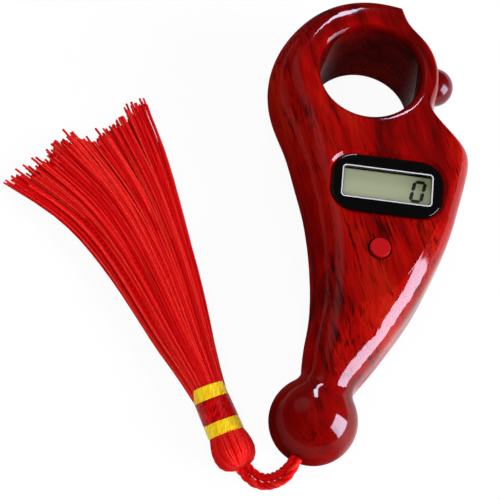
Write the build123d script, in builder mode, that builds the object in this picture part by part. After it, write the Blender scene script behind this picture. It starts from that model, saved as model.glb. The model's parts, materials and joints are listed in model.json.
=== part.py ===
"""Finger-ring tally counter with a tassel.

The finger bore's axis is Z, through the origin, with the origin at mid thickness.
X runs along the display, Y from the ball towards the ring, Z out of the face.
All lengths are in millimetres and all angles in degrees.
"""

import os
from math import cos, radians, sin, tan

from build123d import *

os.makedirs("parts", exist_ok=True)

# Case
bore_diameter = 21.0
bore_wall = 1.2
bore_rim_round = 1.8
half_thickness = 10.5
shell_wall = 1.8
ring_wall = 10.0
side_round = 5.5
head_half_width = 15.6
head_drop = 15.3
head_shift = 5.0
handle_run = 50.5
handle_angle = -101.6
ball_radius = 8.8
neck_round = 3.6
neck_rise = 5.3
cut_overrun = 2.0
edge_power = 2.2
bevel_power = 6
level_shares = (0, 0.3, 0.55, 0.75, 0.88, 0.95, 0.985, 1)

# Ring outline: angle about the bore, wall as a share of ring_wall, edge as a share of side_round
ring_left_shares = (
    (71, 0.82, 0.4),
    (98, 0.925, 1),
    (125, 0.915, 1.05),
    (152, 0.92, 1.1),
    (178, 0.985, 1.15),
    (206, 1.01, 1.25),
    (222, 1.1, 1.3),
)
ring_right_shares = (
    (-33, 0.93, 0.5),
    (-24, 0.5, 0.38),
    (-13, 0.45, 0.34),
    (15.8, 0.48, 0.36),
    (35, 0.49, 0.36),
    (50, 0.49, 0.36),
    (61, 0.56, 0.36),
    (68, 0.71, 0.36),
    (71, 0.82, 0.4),
)
# Handle outline: station along handle_run and half width as a share of head_half_width, first at
# mid thickness and then at the edge of the flat face, and how far the edge is a bevel, not a round
handle_left_shares = (
    (0, 1.19, 0, 0.73, 0),
    (0.1, 1, 0.1, 0.55, 0),
    (0.25, 0.77, 0.24, 0.34, 0),
    (0.42, 0.57, 0.38, 0.19, 0),
    (0.6, 0.43, 0.48, 0.1, 0),
    (0.76, 0.365, 0.54, 0.04, 0),
)
handle_end_shares = ((1, 0, 0.56, 0, 0),)
handle_right_shares = (
    (0.76, 0.47, 0.55, 0.15, 0.8),
    (0.6, 0.65, 0.5, 0.34, 1),
    (0.42, 0.825, 0.39, 0.56, 1),
    (0.25, 0.93, 0.245, 0.7, 1),
    (0.1, 0.99, 0.1, 0.77, 1),
    (-0.05, 0.995, -0.05, 0.78, 0.8),
    (-0.19, 0.99, -0.185, 0.77, 0.5),
    (-0.275, 0.935, -0.255, 0.7, 0.2),
)

# Display
display_drop = 0.7
window_width = 17.9
window_height = 6.7
window_corner = 0.7
window_clearance = 0.4
bezel_side = 2.4
bezel_end = 3.1
bezel_corner = 4.8
bezel_thickness = 1.2
bezel_sink = 0.3
bezel_edge_round = 0.35
recess_clearance = 0.1
recess_bevel = 0.8
lens_margin = 0.9
lens_thickness = 0.7
lens_clearance = 0.05
display_floor = 0.6
lcd_margin = 1.35
lcd_end = 1.85
lcd_thickness = 1.8
holder_wall = 0.9
holder_clearance = 0.1
holder_height = 3.9
zebra_width = 1.4
zebra_height = 2.6
zebra_inset = 0.2
zebra_length_share = 0.92

# Circuit board
board_thickness = 1.0
board_half_width = 12.0
board_top = 7.0
board_shoulder = 5.0
board_tail = 4.0
board_tail_half_width = 7.2
board_screw_spread = 6.7
board_screw_rise = 2.6
board_screw_radius = 0.8
board_screw_reach = 3.5
board_head_radius = 1.5
board_head_height = 0.9
board_boss_radius = 1.9
chip_radius = 3.4
chip_height = 1.2

# Reset button and its switch
reset_drop = 14.6
reset_shift = -0.7
reset_radius = 2.1
reset_proud = 0.7
reset_edge_round = 0.25
reset_gap = 0.2
reset_travel = 0.5
reset_flange_radius = 3.1
reset_flange = 0.6
flange_clearance = 0.05
tact_width = 6.0
tact_height = 3.4
plunger_radius = 1.7
plunger_clearance = 0.06
plunger_length = 1.4
plunger_well = 2.0

# Count button and its switch, on the ring's right flank
count_angle = 15.8
count_radius = 4.1
count_centre = 15.3
count_travel = 0.5
count_clearance = 0.08
count_wall = 1.2
count_flange_radius = 4.7
count_flange = 0.5
count_pocket_margin = 0.3
count_plunger_radius = 1.5
count_plunger_length = 1.25
count_base_half_width = 3.0
count_base_thickness = 1.2
count_base_clearance = 0.04

# Button cell, its contacts and its door
cell_station_share = 0.15
cell_radius = 5.8
cell_height = 5.4
cell_step_radius = 4.9
cell_step = 0.4
cell_clearance = 0.2
well_wall = 1.0
contact_thickness = 0.3
contact_width = 3.0
contact_gap = 0.02
contact_reach = 1.3
contact_slot_clearance = 0.1
minus_contact_radius = 4.4
door_radius = 7.2
door_tab_half_width = 3.2
door_screw_run = 10.4
door_thickness = 1.2
door_sink = 0.2
door_clearance = 0.1
door_ledge = 0.8
door_screw_radius = 0.8
door_screw_reach = 4.0
door_head_radius = 1.5
door_head_height = 0.8
door_boss_radius = 1.9

# Case screws
case_screw_radius = 1.0
case_screw_reach = 5.0
case_head_radius = 1.9
case_head_height = 1.4
case_head_depth = 5.0
case_boss_radius = 2.4
seat_boss_radius = 2.9
screw_clearance = 0.15
pilot_clearance = 0.03
cross_width = 0.4
cross_reach_share = 0.62
cross_depth_share = 0.6
boss_left_rise = 5.3
boss_shoulder_share = -0.235
boss_shoulder_side = 11.0
boss_handle_share = 0.62
boss_handle_side = 1.2

# Lead wires inside the case
lead_radius = 0.35
lead_bend = 0.8
lead_stub = 0.9
lead_step = 0.9
lead_pitch = 1.8
lead_channel_angle = -20
lead_end_inset = 4.5
lead_span_share = 0.45

# Tassel and its cord: the route's points run from the knot in the ball to the tassel's neck
cord_radius = 1.4
cord_clearance = 0.1
cord_angle = -108.0
knot_radius = 3.0
knot_clearance = 0.1
cord_points = (
    (-7.18, -81.5, 0.0),
    (-8.62, -85.92, 0.0),
    (-11.1, -86.9, -5.4),
    (-14.0, -86.4, -8.7),
    (-17.2, -84.4, -7.9),
    (-20.1, -80.4, -6.2),
    (-22.7, -75.5, -6.1),
    (-24.7, -70.6, -5.9),
)
cord_bend_share = 0.45
tassel_x = -20.1
tassel_y = -80.4
tassel_angle = 117.4
tassel_lift = 0.1
tassel_head_radius = 4.4
tassel_head_back = 4.4
tassel_head_front = 2.9
yellow_band_length = 3.1
red_band_length = 4.7
band_radius = 3.72
band_taper = 0.09
band_crown = 0.1
core_radius = 3.1
skirt_length = 63.0
skirt_half_width = 13.0
skirt_depth = 7.4
# Skirt sections: run, left and right reach and depth as shares of the three sizes above, and slant
skirt_shares = (
    (0, 0.25, 0.25, 0.88, 0),
    (0.18, 0.5, 0.45, 1, 0),
    (0.42, 0.67, 0.65, 0.96, 0),
    (0.66, 0.95, 0.8, 0.82, 2),
    (0.84, 1.38, 0.92, 0.68, 6),
    (0.965, 1.66, 0.97, 0.5, 10),
)

# Worked-out places
bore_radius = bore_diameter / 2
tube_radius = bore_radius + bore_wall
roof = half_thickness - shell_wall
along = Vector(cos(radians(handle_angle)), sin(radians(handle_angle)))
across = Vector(-along.Y, along.X)
head_centre = Vector(head_shift, -bore_radius - head_drop)
display_centre = head_centre - Vector(0, display_drop)
reset_centre = display_centre + Vector(reset_shift, -reset_drop)


def ring_point(angle, wall):
    radius = bore_radius + wall
    return Vector(radius * cos(radians(angle)), radius * sin(radians(angle)))


def handle_point(share, side):
    return head_centre + along * (share * handle_run) + across * side


ball_centre = handle_point(1, 0)
cell_centre = handle_point(cell_station_share, 0)
door_screw_centre = cell_centre + along * door_screw_run
case_screw_centres = (
    ring_point(180, boss_left_rise),
    handle_point(boss_shoulder_share, boss_shoulder_side),
    handle_point(boss_handle_share, boss_handle_side),
)
board_screw_centres = [
    reset_centre + Vector(side * board_screw_spread, board_screw_rise) for side in (-1, 1)
]

# Heights of the display stack, down from the face
bezel_top = half_thickness - bezel_sink
recess_floor = bezel_top - bezel_thickness
lcd_front = recess_floor - display_floor
lcd_back = lcd_front - lcd_thickness
board_face = lcd_back - zebra_height
board_back = board_face - board_thickness

# Heights of the cell's stack, up from the back
door_back = -half_thickness + door_sink
door_inside = door_back + door_thickness
ledge_inside = door_inside + door_ledge
cell_top = door_inside + cell_height
contact_top = cell_top + contact_reach
screw_seat = -half_thickness + case_head_depth

bezel_width = window_width + 2 * bezel_side
bezel_height = window_height + 2 * bezel_end
lcd_width = window_width + 2 * lcd_margin
lcd_height = window_height + 2 * lcd_end
holder_width = lcd_width + 2 * (holder_clearance + holder_wall)
holder_depth = lcd_height + 2 * (holder_clearance + holder_wall)
well_radius = cell_radius + cell_clearance

# The count button's own frame: its Z is the press axis, outwards
count_out = Vector(cos(radians(count_angle)), sin(radians(count_angle)))
count_plane = Plane(origin=(0, 0, 0), x_dir=(0, 0, 1), z_dir=count_out)
count_skin = bore_radius + ring_right_shares[3][1] * ring_wall
count_pocket_out = count_skin - count_wall
count_flange_top = count_pocket_out - flange_clearance
count_flange_base = count_flange_top - count_flange
count_base_low = tube_radius + count_base_clearance
count_pocket_half = count_flange_radius + count_pocket_margin

# The tassel's own frame: x along its axis from the head to the ends, on the resting plane
floor = -half_thickness + tassel_lift
tassel_axis = Vector(cos(radians(tassel_angle)), sin(radians(tassel_angle)))
tassel_side = Vector(tassel_axis.Y, -tassel_axis.X)
tassel_height = floor + tassel_head_radius
tassel_centre = Vector(tassel_x, tassel_y, tassel_height)
tassel_plane = Plane(
    origin=tassel_centre, x_dir=tassel_axis, z_dir=tassel_side
)
tassel_line = Axis(tassel_centre, tassel_axis)
red_band_start = tassel_head_front + yellow_band_length
upper_band_start = red_band_start + red_band_length
neck_end = upper_band_start + yellow_band_length
band_places = (
    ("lower_band", tassel_head_front, red_band_start),
    ("middle_band", red_band_start, upper_band_start),
    ("upper_band", upper_band_start, neck_end),
)

cord_out = Vector(cos(radians(cord_angle)), sin(radians(cord_angle)))
cord_plane = Plane(origin=ball_centre, z_dir=cord_out)
ball_cavity_radius = ball_radius - shell_wall
knot_centre = ball_centre + cord_out * (ball_cavity_radius - knot_radius - knot_clearance)


def outline_points(level, inset):
    """Closed outline of the case at a share of its half thickness, drawn in by a wall."""
    keep = (1 - level**edge_power) ** (1 / edge_power)
    bevel_keep = 1 - level**bevel_power
    points = []

    def ring(rows):
        for angle, wall_share, edge_share in rows:
            wall = wall_share * ring_wall
            middle = wall - inset
            face = (wall - edge_share * side_round) * middle / wall
            points.append(ring_point(angle, face + (middle - face) * keep))

    def handle(rows, side):
        for share, width_share, face_share, face_width_share, bevel_share in rows:
            width = width_share * head_half_width
            drawn_in = max(width - inset, 0)
            face_width = face_width_share * head_half_width * (drawn_in / width if width else 0)
            middle = handle_point(share, side * drawn_in)
            face = handle_point(face_share, side * face_width)
            points.append(face + (middle - face) * (keep + (bevel_keep - keep) * bevel_share))

    ring(ring_left_shares)
    handle(handle_left_shares, -1)
    handle(handle_end_shares, 1)
    handle(handle_right_shares, 1)
    ring(ring_right_shares)
    return points


def export(builder, name):
    builder.part.label = name
    export_step(builder.part, f"parts/{name}.step")


def cut_cross(radius, height):
    """Cross recess in a screw head that faces down, cut from the head's outer face."""
    for turn in (0, 90):
        Box(
            2 * radius * cross_reach_share,
            cross_width,
            2 * height * cross_depth_share,
            rotation=(0, 0, turn),
            mode=Mode.SUBTRACT,
        )


def lead_route(points):
    """Wire path of straight runs with one bend radius at every corner."""
    with BuildLine() as route:
        FilletPolyline(*points, radius=lead_bend)
    return route.wire()


# Outer form of the front half: lofted edge, ball and neck
with BuildPart() as front_form:
    for level in level_shares:
        with BuildSketch(Plane.XY.offset(level * half_thickness)):
            with BuildLine():
                Spline(*outline_points(level, 0))
            make_face()
    loft()
    with Locations(ball_centre):
        Sphere(ball_radius)
    split(bisect_by=Plane.XY, keep=Keep.TOP)
    neck = front_form.edges().filter_by(GeomType.BSPLINE)
    neck = neck.filter_by(lambda edge: (edge.center() - ball_centre).length < ball_radius + shell_wall)
    # limited by the flank of the ball that the case leaves free
    neck_fit = min(neck_round, ball_radius + neck_rise - half_thickness)
    fillet(neck.filter_by(lambda edge: edge.center().Z > shell_wall), neck_fit)

# Hollow of the front half, before its bosses and pads
with BuildPart() as cavity_form:
    for level in level_shares:
        with BuildSketch(Plane.XY.offset(level * roof)):
            with BuildLine():
                Spline(*outline_points(level, shell_wall))
            make_face()
    loft()
    with Locations(ball_centre):
        Sphere(ball_cavity_radius)
    split(bisect_by=Plane.XY, keep=Keep.TOP)
    Cylinder(tube_radius, 2 * half_thickness + cut_overrun, mode=Mode.SUBTRACT)
    with BuildSketch(count_plane.offset(tube_radius)):
        with Locations((count_pocket_half / 2, 0)):
            Rectangle(count_pocket_half, 2 * count_pocket_half)
    extrude(amount=count_pocket_out - tube_radius)

rear_form = mirror(front_form.part, about=Plane.XY)
rear_cavity = mirror(cavity_form.part, about=Plane.XY)

# Hollow of the front shell
with BuildPart() as front_hollow:
    add(cavity_form.part)
    with BuildSketch(Plane.XY.offset(lcd_front)):
        with Locations(display_centre):
            Rectangle(holder_width + 2 * holder_wall, holder_depth + 2 * holder_wall)
    extrude(amount=half_thickness - lcd_front, mode=Mode.SUBTRACT)
    with BuildSketch(Plane.XY):
        with Locations(display_centre):
            Rectangle(holder_width + 2 * holder_clearance, holder_depth + 2 * holder_clearance)
    extrude(amount=lcd_front)
    with BuildSketch(Plane.XY):
        with Locations(*case_screw_centres):
            Circle(case_boss_radius)
    extrude(amount=half_thickness, mode=Mode.SUBTRACT)
    with BuildSketch(Plane.XY.offset(board_face)):
        with Locations(*board_screw_centres):
            Circle(board_boss_radius)
    extrude(amount=half_thickness - board_face, mode=Mode.SUBTRACT)

with BuildPart() as front_shell:
    add(front_form.part)
    Cylinder(bore_radius, 2 * half_thickness + cut_overrun, mode=Mode.SUBTRACT)
    fillet(front_shell.edges().filter_by(GeomType.CIRCLE).group_by(Axis.Z)[-1], bore_rim_round)
    add(front_hollow.part, mode=Mode.SUBTRACT)
    # Display recess with its sloped rim, and the opening under it
    with BuildSketch(Plane.XY.offset(recess_floor)):
        with Locations(display_centre):
            RectangleRounded(
                bezel_width + 2 * recess_clearance,
                bezel_height + 2 * recess_clearance,
                bezel_corner + recess_clearance,
            )
    extrude(amount=half_thickness - recess_floor + cut_overrun, mode=Mode.SUBTRACT)
    with BuildSketch(Plane.XY.offset(half_thickness - recess_bevel)):
        with Locations(display_centre):
            RectangleRounded(
                bezel_width + 2 * recess_clearance,
                bezel_height + 2 * recess_clearance,
                bezel_corner + recess_clearance,
            )
    extrude(amount=cut_overrun, taper=-45, mode=Mode.SUBTRACT)
    with BuildSketch(Plane.XY):
        with Locations(display_centre):
            Rectangle(window_width + 2 * window_clearance, window_height + 2 * window_clearance)
    extrude(amount=half_thickness, mode=Mode.SUBTRACT)
    # Holes for the two buttons, the screws and the cord
    with BuildSketch(Plane.XY):
        with Locations(reset_centre):
            Circle(reset_radius + reset_gap)
    extrude(amount=half_thickness + cut_overrun, mode=Mode.SUBTRACT)
    with BuildSketch(count_plane.offset(tube_radius)):
        Circle(count_radius + count_clearance)
    extrude(amount=half_thickness, mode=Mode.SUBTRACT)
    with BuildSketch(Plane.XY):
        with Locations(*case_screw_centres):
            Circle(case_screw_radius + pilot_clearance)
    extrude(amount=case_screw_reach + screw_clearance, mode=Mode.SUBTRACT)
    with BuildSketch(Plane.XY.offset(board_back)):
        with Locations(*board_screw_centres):
            Circle(board_screw_radius + pilot_clearance)
    extrude(amount=board_thickness + board_screw_reach + screw_clearance, mode=Mode.SUBTRACT)
    with BuildSketch(cord_plane):
        Circle(cord_radius + cord_clearance)
    extrude(amount=ball_radius + cut_overrun, mode=Mode.SUBTRACT)
export(front_shell, "front_shell")


def door_outline(margin):
    """Round door over the cell with a screw tab along the handle."""
    with Locations(cell_centre):
        Circle(door_radius + margin)
    with Locations((cell_centre + door_screw_centre) * (1 / 2)):
        SlotCenterToCenter(door_screw_run, 2 * (door_tab_half_width + margin), rotation=handle_angle)


# Hollow of the rear shell: bosses, door ledge and the cell's well stay solid
with BuildPart() as rear_hollow:
    add(rear_cavity)
    with BuildSketch(Plane.XY.offset(-half_thickness)):
        with Locations(*case_screw_centres):
            Circle(seat_boss_radius)
    extrude(amount=half_thickness, mode=Mode.SUBTRACT)
    with BuildSketch(Plane.XY.offset(-half_thickness)):
        door_outline(well_wall)
    extrude(amount=ledge_inside + half_thickness, mode=Mode.SUBTRACT)
    with BuildSketch(Plane.XY.offset(-half_thickness)):
        with Locations(cell_centre):
            Circle(well_radius + well_wall)
    extrude(amount=cell_top + half_thickness, mode=Mode.SUBTRACT)
    with BuildSketch(Plane.XY.offset(-half_thickness)):
        with Locations(door_screw_centre):
            Circle(door_boss_radius)
    extrude(amount=door_inside + door_screw_reach + door_ledge + half_thickness, mode=Mode.SUBTRACT)

with BuildPart() as rear_shell:
    add(rear_form)
    Cylinder(bore_radius, 2 * half_thickness + cut_overrun, mode=Mode.SUBTRACT)
    fillet(rear_shell.edges().filter_by(GeomType.CIRCLE).group_by(Axis.Z)[0], bore_rim_round)
    add(rear_hollow.part, mode=Mode.SUBTRACT)
    # Door recess, the cell's well and the slot for the plus contact
    with BuildSketch(Plane.XY.offset(door_inside)):
        door_outline(door_clearance)
    extrude(amount=-half_thickness, mode=Mode.SUBTRACT)
    with BuildSketch(Plane.XY.offset(door_inside)):
        with Locations(cell_centre):
            Circle(well_radius)
    extrude(amount=cell_height + cut_overrun, mode=Mode.SUBTRACT)
    with BuildSketch(Plane.XY.offset(ledge_inside)):
        with Locations(cell_centre - across * well_radius):
            Rectangle(
                2 * (well_wall + contact_thickness),
                contact_width + 2 * contact_slot_clearance,
                rotation=handle_angle + 90,
            )
    extrude(amount=cell_height, mode=Mode.SUBTRACT)
    # Screw seats, door screw pilot, count button and cord holes
    with BuildSketch(Plane.XY):
        with Locations(*case_screw_centres):
            Circle(case_screw_radius + screw_clearance)
    extrude(amount=screw_seat, mode=Mode.SUBTRACT)
    with BuildSketch(Plane.XY.offset(screw_seat)):
        with Locations(*case_screw_centres):
            Circle(case_head_radius + screw_clearance)
    extrude(amount=-case_head_depth - cut_overrun, mode=Mode.SUBTRACT)
    with BuildSketch(Plane.XY.offset(door_back)):
        with Locations(door_screw_centre):
            Circle(door_screw_radius + pilot_clearance)
    extrude(amount=door_thickness + door_screw_reach + screw_clearance, mode=Mode.SUBTRACT)
    with BuildSketch(count_plane.offset(tube_radius)):
        Circle(count_radius + count_clearance)
    extrude(amount=half_thickness, mode=Mode.SUBTRACT)
    with BuildSketch(cord_plane):
        Circle(cord_radius + cord_clearance)
    extrude(amount=ball_radius + cut_overrun, mode=Mode.SUBTRACT)
export(rear_shell, "rear_shell")

# Three identical self-tapping screws, heads to the back
with BuildPart() as case_screws:
    with Locations(*[(spot.X, spot.Y, screw_seat) for spot in case_screw_centres]):
        Cylinder(case_head_radius, case_head_height, align=(Align.CENTER, Align.CENTER, Align.MAX))
        Cylinder(
            case_screw_radius,
            case_screw_reach - screw_seat,
            align=(Align.CENTER, Align.CENTER, Align.MIN),
        )
    with Locations(*[(spot.X, spot.Y, screw_seat - case_head_height) for spot in case_screw_centres]):
        cut_cross(case_head_radius, case_head_height)
export(case_screws, "case_screws")

# Black surround of the display: window opening, and a rebate behind it for the lens
with BuildPart() as display_bezel:
    with BuildSketch(Plane.XY.offset(recess_floor)):
        with Locations(display_centre):
            RectangleRounded(bezel_width, bezel_height, bezel_corner)
    extrude(amount=bezel_thickness)
    fillet(display_bezel.faces().sort_by(Axis.Z)[-1].edges(), bezel_edge_round)
    with BuildSketch(Plane.XY.offset(recess_floor)):
        with Locations(display_centre):
            RectangleRounded(window_width, window_height, window_corner)
    extrude(amount=bezel_thickness, mode=Mode.SUBTRACT)
    with BuildSketch(Plane.XY.offset(recess_floor)):
        with Locations(display_centre):
            Rectangle(
                window_width + 2 * (lens_margin + lens_clearance),
                window_height + 2 * (lens_margin + lens_clearance),
            )
    extrude(amount=lens_thickness, mode=Mode.SUBTRACT)
export(display_bezel, "display_bezel")

with BuildPart() as display_lens:
    with BuildSketch(Plane.XY.offset(recess_floor)):
        with Locations(display_centre):
            Rectangle(window_width + 2 * lens_margin, window_height + 2 * lens_margin)
    extrude(amount=lens_thickness)
export(display_lens, "display_lens")

with BuildPart() as lcd_panel:
    with BuildSketch(Plane.XY.offset(lcd_back)):
        with Locations(display_centre):
            Rectangle(lcd_width, lcd_height)
    extrude(amount=lcd_thickness)
export(lcd_panel, "lcd_panel")

# Frame that stands on the board and holds the glass and the two contact strips
with BuildPart() as lcd_holder:
    with BuildSketch(Plane.XY.offset(board_face)):
        with Locations(display_centre):
            Rectangle(holder_width, holder_depth)
            Rectangle(
                lcd_width + 2 * holder_clearance,
                lcd_height + 2 * holder_clearance,
                mode=Mode.SUBTRACT,
            )
    extrude(amount=holder_height)
export(lcd_holder, "lcd_holder")

with BuildPart() as zebra_strips:
    with BuildSketch(Plane.XY.offset(board_face)):
        for side in (-1, 1):
            strip_rise = side * (lcd_height / 2 - zebra_inset - zebra_width / 2)
            with Locations(display_centre + Vector(0, strip_rise)):
                Rectangle(lcd_width * zebra_length_share, zebra_width)
    extrude(amount=zebra_height)
export(zebra_strips, "zebra_strips")

with BuildPart() as circuit_board:
    with BuildSketch(Plane.XY.offset(board_back)):
        with BuildLine():
            top_left = display_centre + Vector(-board_half_width, board_top)
            top_right = display_centre + Vector(board_half_width, board_top)
            right = display_centre + Vector(board_half_width, -board_shoulder)
            left = display_centre + Vector(-board_half_width, -board_shoulder)
            tail_right = reset_centre + Vector(board_tail_half_width, -board_tail)
            tail_left = reset_centre + Vector(-board_tail_half_width, -board_tail)
            Polyline(top_left, top_right, right, tail_right, tail_left, left, close=True)
        make_face()
        with Locations(*board_screw_centres):
            Circle(board_screw_radius + screw_clearance, mode=Mode.SUBTRACT)
    extrude(amount=board_thickness)
export(circuit_board, "circuit_board")

# Domed cover over the chip, on the board's back
with BuildPart() as chip_cover:
    dome_radius = (chip_radius**2 + chip_height**2) / (2 * chip_height)
    with Locations((display_centre.X, display_centre.Y, board_back - chip_height + dome_radius)):
        Sphere(dome_radius)
    split(bisect_by=Plane.XY.offset(board_back), keep=Keep.BOTTOM)
export(chip_cover, "chip_cover")

with BuildPart() as board_screws:
    with Locations(*[(spot.X, spot.Y, board_back) for spot in board_screw_centres]):
        Cylinder(board_head_radius, board_head_height, align=(Align.CENTER, Align.CENTER, Align.MAX))
        Cylinder(
            board_screw_radius,
            board_thickness + board_screw_reach,
            align=(Align.CENTER, Align.CENTER, Align.MIN),
        )
    with Locations(*[(spot.X, spot.Y, board_back - board_head_height) for spot in board_screw_centres]):
        cut_cross(board_head_radius, board_head_height)
export(board_screws, "board_screws")

# Reset button: cap through the face, flange behind it
reset_flange_top = roof - flange_clearance
reset_base = reset_flange_top - reset_flange
with BuildPart() as reset_button:
    with BuildSketch(Plane.XY.offset(reset_base)):
        with Locations(reset_centre):
            Circle(reset_radius)
    extrude(amount=half_thickness + reset_proud - reset_base)
    fillet(reset_button.edges().sort_by(Axis.Z)[-1], reset_edge_round)
    with BuildSketch(Plane.XY.offset(reset_base)):
        with Locations(reset_centre):
            Circle(reset_flange_radius)
    extrude(amount=reset_flange)
export(reset_button, "reset_button")

with BuildPart() as reset_plunger:
    with BuildSketch(Plane.XY.offset(reset_base)):
        with Locations(reset_centre):
            Circle(plunger_radius)
    extrude(amount=-plunger_length)
export(reset_plunger, "reset_plunger")

with BuildPart() as reset_switch:
    with BuildSketch(Plane.XY.offset(board_face)):
        with Locations(reset_centre):
            Rectangle(tact_width, tact_width)
    extrude(amount=tact_height)
    with BuildSketch(Plane.XY.offset(board_face + tact_height)):
        with Locations(reset_centre):
            Circle(plunger_radius + plunger_clearance)
    extrude(amount=-plunger_well, mode=Mode.SUBTRACT)
export(reset_switch, "reset_switch")

# Count button: domed barrel through the flank, flange behind the wall
with BuildPart() as count_button:
    with BuildSketch(count_plane.offset(count_flange_base)):
        Circle(count_flange_radius)
    extrude(amount=count_flange)
    with BuildSketch(count_plane.offset(count_flange_base)):
        Circle(count_radius)
    extrude(amount=count_centre - count_flange_base)
    with Locations(count_plane.offset(count_centre)):
        Sphere(count_radius, arc_size1=0, align=(Align.CENTER, Align.CENTER, Align.MIN))
export(count_button, "count_button")

with BuildPart() as count_plunger:
    with BuildSketch(count_plane.offset(count_flange_base)):
        Circle(count_plunger_radius)
    extrude(amount=-count_plunger_length)
export(count_plunger, "count_plunger")

with BuildPart() as count_switch:
    with BuildSketch(count_plane.offset(count_base_low)):
        Rectangle(2 * count_base_half_width, 2 * count_base_half_width)
        Circle(count_plunger_radius + plunger_clearance, mode=Mode.SUBTRACT)
    extrude(amount=count_base_thickness)
export(count_switch, "count_switch")

# Two wires from the count switch round the bore's tube to the board's top edge
count_lead_radius = count_base_low + lead_radius
count_down = Vector(count_out.Y, -count_out.X)
lead_start = count_out * count_lead_radius + count_down * count_base_half_width
lead_exit = lead_start + count_down * lead_stub
lead_turn = ring_point(lead_channel_angle, count_lead_radius - bore_radius)
board_edge = display_centre.Y + board_top
board_middle = board_back + board_thickness / 2
with BuildPart() as switch_leads:
    for side in (-1, 1):
        lead_x = display_centre.X + board_half_width - lead_end_inset + side * lead_pitch / 2
        lead_z = side * lead_pitch / 2
        lead_y = board_edge + (lead_turn.Y - board_edge) * lead_span_share
        route = lead_route(
            [
                (lead_start.X, lead_start.Y, lead_z),
                (lead_exit.X, lead_exit.Y, lead_z),
                (lead_turn.X, lead_turn.Y, lead_z),
                (lead_x, lead_y, board_middle),
                (lead_x, board_edge, board_middle),
            ]
        )
        with BuildSketch(Plane(route @ 0, z_dir=route % 0)):
            Circle(lead_radius)
        sweep(path=route)
export(switch_leads, "switch_leads")

with BuildPart() as button_cell:
    with BuildSketch(Plane.XY.offset(door_inside)):
        with Locations(cell_centre):
            Circle(cell_radius)
    extrude(amount=cell_height - cell_step)
    with BuildSketch(Plane.XY.offset(cell_top - cell_step)):
        with Locations(cell_centre):
            Circle(cell_step_radius)
    extrude(amount=cell_step)
export(button_cell, "button_cell")

# Strip against the cell's side, standing in the well's slot
plus_side = -(cell_radius + contact_gap + contact_thickness / 2)
with BuildPart() as contact_plus:
    with BuildSketch(Plane.XY.offset(ledge_inside)):
        with Locations(cell_centre + across * plus_side):
            Rectangle(contact_thickness, contact_width, rotation=handle_angle + 90)
    extrude(amount=contact_top - ledge_inside)
export(contact_plus, "contact_plus")

# Plate on the cell's top with a tab on the well's rim
minus_side = well_radius + well_wall
with BuildPart() as contact_minus:
    with BuildSketch(Plane.XY.offset(cell_top)):
        with Locations(cell_centre):
            Circle(minus_contact_radius)
        with Locations(cell_centre + across * (minus_side / 2)):
            Rectangle(minus_side, contact_width, rotation=handle_angle + 90)
    extrude(amount=contact_thickness)
export(contact_minus, "contact_minus")

# Wires from the two contacts up to the board
with BuildPart() as cell_leads:
    for side, start in ((plus_side, contact_top), (minus_side - lead_step, cell_top + contact_thickness)):
        rise = (board_back - start) * lead_span_share
        low = cell_centre + across * side
        high = low + along * lead_step
        route = lead_route(
            [
                (low.X, low.Y, start),
                (low.X, low.Y, start + rise),
                (high.X, high.Y, board_back - rise),
                (high.X, high.Y, board_back),
            ]
        )
        with BuildSketch(Plane(route @ 0, z_dir=route % 0)):
            Circle(lead_radius)
        sweep(path=route)
export(cell_leads, "cell_leads")

with BuildPart() as battery_door:
    with BuildSketch(Plane.XY.offset(door_back)):
        door_outline(0)
    extrude(amount=door_thickness)
    with BuildSketch(Plane.XY.offset(door_back)):
        with Locations(door_screw_centre):
            Circle(door_screw_radius + screw_clearance)
    extrude(amount=door_thickness, mode=Mode.SUBTRACT)
    with BuildSketch(Plane.XY.offset(door_back)):
        with Locations(door_screw_centre):
            Circle(door_head_radius + screw_clearance)
    extrude(amount=door_head_height, mode=Mode.SUBTRACT)
export(battery_door, "battery_door")

with BuildPart() as door_screw:
    with Locations((door_screw_centre.X, door_screw_centre.Y, door_back + door_head_height)):
        Cylinder(door_head_radius, door_head_height, align=(Align.CENTER, Align.CENTER, Align.MAX))
        Cylinder(
            door_screw_radius,
            door_thickness - door_head_height + door_screw_reach,
            align=(Align.CENTER, Align.CENTER, Align.MIN),
        )
    with Locations((door_screw_centre.X, door_screw_centre.Y, door_back)):
        cut_cross(door_head_radius, door_head_height)
export(door_screw, "door_screw")

# Cord from the knot inside the ball, down to the resting plane and into the tassel
with BuildPart() as cord_knot:
    with Locations(knot_centre):
        Sphere(knot_radius)
export(cord_knot, "cord_knot")

route_vectors = [Vector(*point) for point in cord_points]
cord_radii = []
for before, corner, after in zip(route_vectors, route_vectors[1:], route_vectors[2:]):
    shorter = min((corner - before).length, (after - corner).length)
    turn = (corner - before).get_angle(after - corner)
    cord_radii.append(cord_bend_share * shorter / tan(radians(turn / 2)))
print("cord radii", [round(radius, 2) for radius in cord_radii])
with BuildLine() as cord_route:
    FilletPolyline(*cord_points, radius=cord_radii)
cord_path = cord_route.wire()
with BuildPart() as tassel_cord:
    with BuildSketch(Plane(cord_path @ 0, z_dir=cord_path % 0)):
        cord_section = Circle(cord_radius)
    sweep(path=cord_path)
cord_volume_share = tassel_cord.part.volume / (cord_section.area * cord_path.length)
print("cord length", round(cord_path.length, 2), "volume share", round(cord_volume_share, 4))
export(tassel_cord, "tassel_cord")

with BuildPart() as tassel_head:
    with BuildSketch(tassel_plane):
        with BuildLine():
            Line((-tassel_head_back, 0), (tassel_head_front, 0))
            Line((tassel_head_front, 0), (tassel_head_front, band_radius))
            Spline(
                (tassel_head_front, band_radius),
                (0, tassel_head_radius),
                (-tassel_head_back, 0),
                tangents=((-1, 0), (0, -1)),
            )
        make_face()
    revolve(axis=tassel_line)
export(tassel_head, "tassel_head")

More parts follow.
